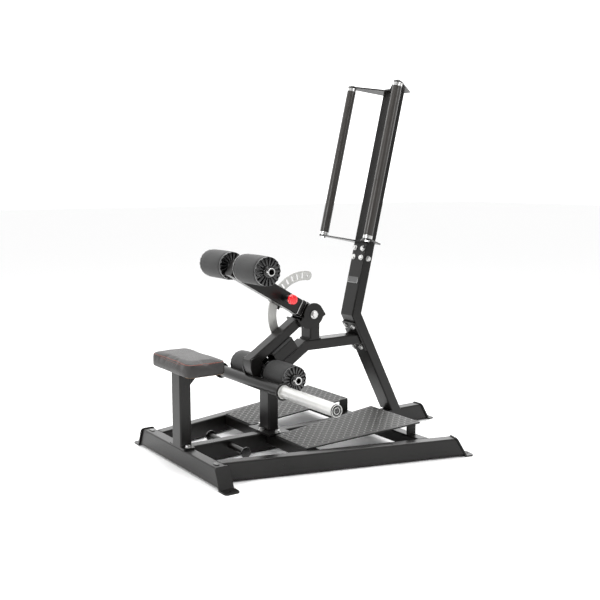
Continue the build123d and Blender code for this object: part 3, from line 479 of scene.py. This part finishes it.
def addSeatSeams(pad, low, high):
    deselect()
    bpy.ops.mesh.primitive_uv_sphere_add(segments=8, ring_count=6, radius=0.5)
    stitch = bpy.context.object
    stitch.scale = (seat["stitchLong"], seat["stitchThick"], seat["stitchThick"])
    freeze(stitch)
    row = []
    path = roundedOutline(low, high, seat["corner"], seat["stitchInset"])
    for index, (place, heading) in enumerate(walk(path, seat["stitchStep"])):
        above = Vector((place.x, place.y, high.z + 0.1))
        hit, point, normal, face = pad.ray_cast(above, Vector((0, 0, -1)))
        if hit:
            across = normal.cross(heading).normalized()
            turn = Matrix((normal.cross(across) * -1, across, normal)).transposed().to_4x4()
            lift = Matrix.Translation(point + normal * seat["stitchProud"])
            row.append(copyOf(stitch, f"stitch{index}", lift @ turn))
    bpy.data.objects.remove(stitch)
    thread = joinAll(row, "seatStitching")
    smooth(thread)
    dress(thread, "frame", "seat_leather", threadFinish)
    # a welt where the top panel meets the side band
    path = roundedOutline(low, high, seat["corner"], 0)
    ring = []
    for place, heading in walk(path, seat["weltStep"]):
        outward = Vector((heading.y, -heading.x, 0))
        away = place + outward * 0.05
        away.z = high.z - seat["seamDown"]
        hit, point, normal, face = pad.ray_cast(away, -outward)
        if hit:
            ring.append(point)
    makeWelt(ring, "seatWelt", seat["weltThick"], threadFinish)


def makeWelt(points, name, thick, material, slot="seat_leather"):
    curve = bpy.data.curves.new(name, "CURVE")
    curve.dimensions = "3D"
    curve.bevel_depth = thick / 2
    curve.bevel_resolution = 3
    spline = curve.splines.new("POLY")
    spline.points.add(len(points) - 1)
    for target, point in zip(spline.points, points):
        target.co = (*point, 1)
    spline.use_cyclic_u = True
    welt = bpy.data.objects.new(name, curve)
    bpy.context.collection.objects.link(welt)
    activate(welt)
    bpy.ops.object.convert(target="MESH")
    welt = bpy.context.object
    smooth(welt, 60)
    dress(welt, "frame", slot, material)


makeSeatPad()


# ---------- rollers ----------
roller = {"edge": 0.006, "recess": 0.0095, "boss": 0.006, "hub": 0.0235, "bore": 0.01265,
          "fins": 18, "finThick": 0.0052, "finSoft": 0.0012, "rim": 0.0026, "rimDrop": 0.004,
          "capSoft": 0.0011, "overlap": 0.001, "spigot": 0.0198, "spigotLong": 0.028,
          "spigotGap": 0.0002, "slices": 8, "skin": 0.0008, "swell": 0.0006, "wave": 0.0003}


def makeRing(outer, inner, low, high, sides=72):
    # a short tube about Z: both ends are inset, opened and bridged through
    deselect()
    bpy.ops.mesh.primitive_cylinder_add(vertices=sides, radius=outer, depth=high - low,
                                        location=(0, 0, (low + high) / 2))
    ring = freeze(bpy.context.object)
    pickFaces(ring, lambda face: abs(face.normal.z) > 0.9)
    bpy.ops.mesh.inset(thickness=outer - inner)
    bpy.ops.mesh.delete(type="FACE")
    objectMode()
    edge = (outer + inner) / 2
    pickEdges(ring, lambda a, b: a.xy.length < edge and b.xy.length < edge)
    bpy.ops.mesh.bridge_edge_loops()
    bpy.ops.mesh.select_all(action="SELECT")
    bpy.ops.mesh.normals_make_consistent(inside=False)
    objectMode()
    return ring


def makeFoamSleeve(side, level, body):
    node = f"{level}_{side}_foam"
    low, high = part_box(node)
    centre = (low + high) / 2
    radius, length = (high.z - low.z) / 2, high.y - low.y
    foam = makeRing(radius - roller["skin"], roller["spigot"] + roller["spigotGap"],
                    -length / 2, length / 2)
    foam.name = f"{level}{side.capitalize()}Foam"
    # soft shoulders, then rings along the length that swell a little
    pickEdges(foam, lambda a, b: abs(a.z - b.z) < 1e-5 and min(a.xy.length, b.xy.length) > radius / 2)
    bpy.ops.mesh.bevel(offset=roller["edge"], segments=4)
    objectMode()
    for cut in range(1, roller["slices"]):
        pickFaces(foam, lambda face: True)
        bpy.ops.mesh.bisect(plane_co=(0, 0, length * (cut / roller["slices"] - 0.5)), plane_no=(0, 0, 1))
        objectMode()
    for vertex in foam.data.vertices:
        out = Vector((vertex.co.x, vertex.co.y, 0))
        if out.length > radius * 0.9:
            along = vertex.co.z / length + 0.5
            wave = math.sin(3 * math.atan2(out.y, out.x) + 7 * along) * roller["wave"]
            vertex.co += out.normalized() * (roller["swell"] * math.sin(math.pi * along) + wave)
    foam.data.transform(Matrix.Translation(centre) @ Matrix.Rotation(math.pi / 2, 4, "X"))
    smooth(foam, 50)
    dress(foam, body, "roller_foam", finishes["roller_foam"], node)


def makeRibbedCap(radius, thick):
    # a dished disc with a hub that stands out and radial fins, facing +Z with its back on z = 0
    floor = thick - roller["recess"]
    plate = makeRing(radius, roller["hub"] - roller["overlap"], 0, floor)
    rim = makeRing(radius, radius - roller["rim"], 0, thick - roller["rimDrop"])
    hub = makeRing(roller["hub"], roller["bore"], 0, thick + roller["boss"])
    spigot = makeRing(roller["spigot"], roller["bore"], -roller["spigotLong"], roller["overlap"])
    for piece in (plate, rim, hub):
        addModifier(piece, "BEVEL", width=roller["capSoft"], segments=3, limit_method="ANGLE")
    inner, outer = roller["hub"] - roller["overlap"], radius - 0.0006
    deselect()
    middle = ((inner + outer) / 2, 0, (floor + thick) / 2 - roller["overlap"] / 2)
    bpy.ops.mesh.primitive_cube_add(size=1, location=middle)
    fin = bpy.context.object
    fin.scale = (outer - inner, roller["finThick"], roller["recess"] + roller["overlap"])
    freeze(fin)
    # a fin widens outwards
    pickFaces(fin, lambda face: face.normal.x > 0.9)
    bpy.ops.transform.resize(value=(1, 2, 1), center_override=(outer, 0, thick / 2))
    objectMode()
    addModifier(fin, "BEVEL", width=roller["finSoft"], segments=3)
    parts = [plate, rim, hub, spigot]
    for index in range(roller["fins"]):
        turn = Matrix.Rotation(index * 2 * math.pi / roller["fins"], 4, "Z")
        parts.append(copyOf(fin, f"fin{index}", turn))
    bpy.data.objects.remove(fin)
    cap = joinAll(parts, "ribbedCap")
    smooth(cap, 40)
    return cap


def placeCaps(side, level, body):
    node = f"{level}_{side}_caps"
    low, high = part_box(node)
    foamLow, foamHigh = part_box(f"{level}_{side}_foam")
    centre = (low + high) / 2
    cap = makeRibbedCap((high.x - low.x) / 2, foamLow.y - low.y - roller["boss"])
    ends = []
    for name, y, facing in (("Near", foamLow.y, 1), ("Far", foamHigh.y, -1)):
        matrix = Matrix.Translation((centre.x, y, centre.z)) @ Matrix.Rotation(facing * math.pi / 2, 4, "X")
        ends.append(copyOf(cap, name, matrix))
    bpy.data.objects.remove(cap)
    pair = joinAll(ends, f"{level}{side.capitalize()}Caps")
    dress(pair, body, "cap_plastic", finishes["cap_plastic"], node)


for level in ("upper", "lower"):
    for side in ("left", "right"):
        makeFoamSleeve(side, level, f"{level}_{side}_roller")
        placeCaps(side, level, f"{level}_{side}_roller")
print("rollers done")


# ---------- checker plate ----------
checker = {"pitch": 0.0185, "long": 0.0195, "wide": 0.0058, "high": 0.0017, "margin": 0.009}


def makeTreadPattern(side):
    tread = nodes[f"{side}_tread"]
    low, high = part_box(f"{side}_tread")
    yMid = (low.y + high.y) / 2
    down = Vector((0, 0, -1))
    frontHit = tread.ray_cast(Vector((low.x + 0.05, yMid, 1)), down)
    rearHit = tread.ray_cast(Vector((high.x - 0.05, yMid, 1)), down)
    slope = math.atan2(rearHit[1].z - frontHit[1].z, rearHit[1].x - frontHit[1].x)
    deselect()
    bpy.ops.mesh.primitive_uv_sphere_add(segments=12, ring_count=6, radius=0.5)
    bar = bpy.context.object
    bar.scale = (checker["long"], checker["wide"], checker["high"] * 2)
    freeze(bar)
    pickFaces(bar, lambda face: face.center.z < 0)
    bpy.ops.mesh.delete(type="FACE")
    objectMode()
    tilt = Matrix.Rotation(-slope, 4, "Y")
    bars = []
    rows = int((high.x - low.x) / checker["pitch"]) + 1
    columns = int((high.y - low.y) / checker["pitch"]) + 1
    for row in range(rows):
        for column in range(columns):
            x = low.x + checker["margin"] + row * checker["pitch"]
            y = low.y + checker["margin"] + column * checker["pitch"]
            reach = checker["margin"]
            inside = all(
                tread.ray_cast(Vector((x + dx, y + dy, 1)), down)[0]
                for dx, dy in ((reach, 0), (-reach, 0), (0, reach), (0, -reach))
            )
            if inside:
                z = frontHit[1].z + math.tan(slope) * (x - frontHit[1].x)
                lean = math.radians(45 if (row + column) % 2 else -45)
                matrix = Matrix.Translation((x, y, z)) @ tilt @ Matrix.Rotation(lean, 4, "Z")
                bars.append(copyOf(bar, "bar", matrix))
    bpy.data.objects.remove(bar)
    pattern = joinAll(bars, f"{side}TreadPattern")
    smooth(pattern, 60)
    dress(pattern, "frame", "checker_plate", barWearAndHighlight)


for side in ("left", "right"):
    makeTreadPattern(side)
print("treads done")


# ---------- weight sleeve caps ----------
sleeveCap = {"rim": 0.0035, "groove": 0.0012, "ring": 0.0032, "rings": 3, "soft": 0.0005}


def makeSleeveCaps():
    low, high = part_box("sleeve_caps")
    radius = (high.z - low.z) / 2
    thick = high.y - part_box("left_weight_sleeve")[1].y
    deselect()
    bpy.ops.mesh.primitive_cylinder_add(vertices=64, radius=radius, depth=thick,
                                        location=(0, 0, thick / 2))
    cap = freeze(bpy.context.object)
    pickFaces(cap, lambda face: face.normal.z > 0.9)
    for step in range(sleeveCap["rings"]):
        bpy.ops.mesh.inset(thickness=sleeveCap["rim"])
        bpy.ops.mesh.extrude_region_move(TRANSFORM_OT_translate={"value": (0, 0, -sleeveCap["groove"])})
        bpy.ops.mesh.inset(thickness=sleeveCap["ring"])
        bpy.ops.mesh.extrude_region_move(TRANSFORM_OT_translate={"value": (0, 0, sleeveCap["groove"])})
    objectMode()
    addModifier(cap, "BEVEL", width=sleeveCap["soft"], segments=2, limit_method="ANGLE")
    centre = (low + high) / 2
    ends = []
    for y, facing in ((low.y + thick, 1), (high.y - thick, -1)):
        matrix = Matrix.Translation((centre.x, y, centre.z)) @ Matrix.Rotation(facing * math.pi / 2, 4, "X")
        ends.append(copyOf(cap, "end", matrix))
    bpy.data.objects.remove(cap)
    caps = joinAll(ends, "sleeveEndCaps")
    smooth(caps, 35)
    dress(caps, "lever", "cap_plastic", finishes["cap_plastic"], "sleeve_caps")


makeSleeveCaps()


# ---------- red knob ----------
knob = {"sides": 48, "headPart": 16 / 21, "round": 0.006, "dishInset": 0.004, "dishDeep": 0.0007,
        "neck": 0.014}


def makeKnob():
    low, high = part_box("pin_knob")
    radius = (high.z - low.z) / 2
    thick = (high.y - low.y) * knob["headPart"]
    centre = (low + high) / 2
    deselect()
    bpy.ops.mesh.primitive_cylinder_add(vertices=knob["sides"], radius=radius, depth=thick,
                                        location=(0, 0, thick / 2))
    head = freeze(bpy.context.object)
    pickEdges(head, lambda a, b: a.z > thick * 0.9 and b.z > thick * 0.9)
    bpy.ops.mesh.bevel(offset=knob["round"], segments=6)
    objectMode()
    pickFaces(head, lambda face: face.normal.z > 0.99 and face.center.z > thick * 0.9)
    bpy.ops.mesh.inset(thickness=knob["dishInset"])
    bpy.ops.mesh.extrude_region_move(TRANSFORM_OT_translate={"value": (0, 0, -knob["dishDeep"])})
    objectMode()
    pickFaces(head, lambda face: face.normal.z < -0.9)
    bpy.ops.mesh.inset(thickness=radius - knob["neck"])
    neck = (high.y - low.y) - thick
    bpy.ops.mesh.extrude_region_move(TRANSFORM_OT_translate={"value": (0, 0, -neck)})
    objectMode()
    head.data.transform(Matrix.Translation((centre.x, low.y + thick, centre.z))
                        @ Matrix.Rotation(math.pi / 2, 4, "X"))
    smooth(head, 40)
    head.name = "redKnob"
    dress(head, "pop_pin", "knob_red", finishes["knob_red"], "pin_knob")


makeKnob()
print("knob and caps done")


# ---------- bright trims, and painted highlights on the arm band ---
band = {"near": 0.048, "far": 0.072, "wide": 0.056, "tall": 0.074, "thick": 0.0016,
        "proud": 0.0004, "corner": 0.009}
label = {"inset": 0.0022, "thick": 0.0013, "proud": 0.0006}
# each bright ring: its size, its thickness and how far it sits in from the end
collarRing = {"big": 0.0264, "small": 0.0014, "out": 0.0006}
endRings = {"endRing": {"big": 0.0229, "small": 0.0019, "in": 0.0016},
            "innerRing": {"big": 0.0125, "small": 0.0009, "in": 0.0006}}


def makeBandEdgeHighlights():
    # bright strips at the edges of the clamp band round the arm: painted highlights, made in bright zinc
    pivot = mid("pivot_shaft")
    armOut = mid("pin_barrel") - pivot
    armOut.y = 0
    armOut.normalize()
    turn = Matrix.Rotation(math.atan2(armOut.z, -armOut.x), 4, "Y")
    thick, proud = band["thick"], band["proud"]
    edges = []
    for at in (band["near"] + thick / 2, band["far"] - thick / 2):
        deselect()
        bpy.ops.mesh.primitive_cube_add(size=1, location=(0, 0, 0))
        strip = bpy.context.object
        strip.scale = (thick + proud, band["wide"] + 2 * proud, band["tall"] + 2 * proud)
        freeze(strip)
        pickEdges(strip, lambda a, b: abs(a.x - b.x) > thick / 2)
        bpy.ops.mesh.bevel(offset=band["corner"] + proud, segments=6)
        objectMode()
        strip.data.transform(Matrix.Translation(pivot + armOut * at) @ turn)
        edges.append(strip)
    edges = joinAll(edges, "bandEdgeHighlights")
    smooth(edges)
    dress(edges, "hip_arm", "zinc", finishes["zinc"])


def addTorus(name, place, big, small):
    deselect()
    bpy.ops.mesh.primitive_torus_add(major_radius=big, minor_radius=small, major_segments=64,
                                     minor_segments=12, location=place, rotation=(math.pi / 2, 0, 0))
    ring = freeze(bpy.context.object)
    ring.name = name
    smooth(ring, 60)
    return ring


def makeSleeveRings():
    low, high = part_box("sleeve_caps")
    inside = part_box("left_weight_sleeve")[0].y
    centre = (low + high) / 2
    rings = []
    for side in (-1, 1):
        rings.append(addTorus("collarRing", (centre.x, side * (inside + collarRing["out"]), centre.z),
                              collarRing["big"], collarRing["small"]))
        for name, ring in endRings.items():
            place = (centre.x, high.y * side - side * ring["in"], centre.z)
            rings.append(addTorus(name, place, ring["big"], ring["small"]))
    rings = joinAll(rings, "sleeveRings")
    dress(rings, "lever", "sleeve_steel", finishes["sleeve_steel"])


def makeLabelEdge():
    # a bright line round the blank label
    low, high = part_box("label_plate")
    centre = (low + high) / 2
    lean = math.atan2(high.x - low.x, high.z - low.z)
    halfWide = (high.y - low.y) / 2 - label["inset"]
    halfTall = (high.z - low.z) / 2 / math.cos(lean) - label["inset"]
    up = Vector((math.sin(lean), 0, math.cos(lean)))
    face = Vector((-math.cos(lean), 0, math.sin(lean)))
    corners = [centre + Vector((0, y * halfWide, 0)) + up * (z * halfTall) + face * label["proud"]
               for y, z in ((-1, -1), (1, -1), (1, 1), (-1, 1))]
    makeWelt(corners, "labelEdge", label["thick"], finishes["zinc"], "label_metal")


makeBandEdgeHighlights()
makeSleeveRings()
makeLabelEdge()
print("trims done")


# ---------- stage and light ----------
stage = {"size": 60, "white": 1, "bright": 1.9, "dim": 0.16, "lightFrom": (0.563, 0.826, 0)}


def makeStage():
    deselect()
    bpy.ops.mesh.primitive_plane_add(size=stage["size"], location=(0, 0, 0))
    floor = bpy.context.object
    floor.name = "studioFloor"
    paper = Shader("studioFloor")
    floor.data.materials.append(paper.paint(baseColor=grey(stage["white"]), roughness=0.95, specular=0.05))
    # a white backdrop on one side that falls off to a dimmer room on the other
    world = bpy.data.worlds.new("studio")
    room = Shader("studio", "Background", world)
    way = room.node("ShaderNodeTexCoord").out("Generated")
    along = room.node("ShaderNodeVectorMath", {"operation": "DOT_PRODUCT"},
                      {0: way, 1: stage["lightFrom"]}).out("Value")
    tone = room.ramp(along * 0.5 + 0.5, 0.3, 0.85, grey(stage["dim"]), grey(1))
    room.feed(room.surface, {"Color": tone, "Strength": stage["bright"]})
    bpy.context.scene.world = world
    bpy.context.scene.view_settings.view_transform = "Standard"


def addLamp(name, place, size, power, aim=(0, 0, 0.5)):
    bpy.ops.object.light_add(type="AREA", location=place)
    lamp = bpy.context.object
    lamp.name = name
    lamp.data.shape = "SQUARE"
    lamp.data.size = size
    lamp.data.energy = power
    lamp.rotation_euler = (Vector(aim) - Vector(place)).to_track_quat("-Z", "Y").to_euler()


makeStage()
addLamp("topSoftbox", (-0.2, 0, 3.4), 2.4, 90)
addLamp("keySoftbox", (-3.2, -0.6, 1.9), 0.7, 40, (0, 0, 0.9))
addLamp("fillSoftbox", (0.8, -3.4, 2.2), 0.8, 22)
addLamp("rimSoftbox", (2.6, 1.6, 2.4), 1.6, 30)
print("stage done")
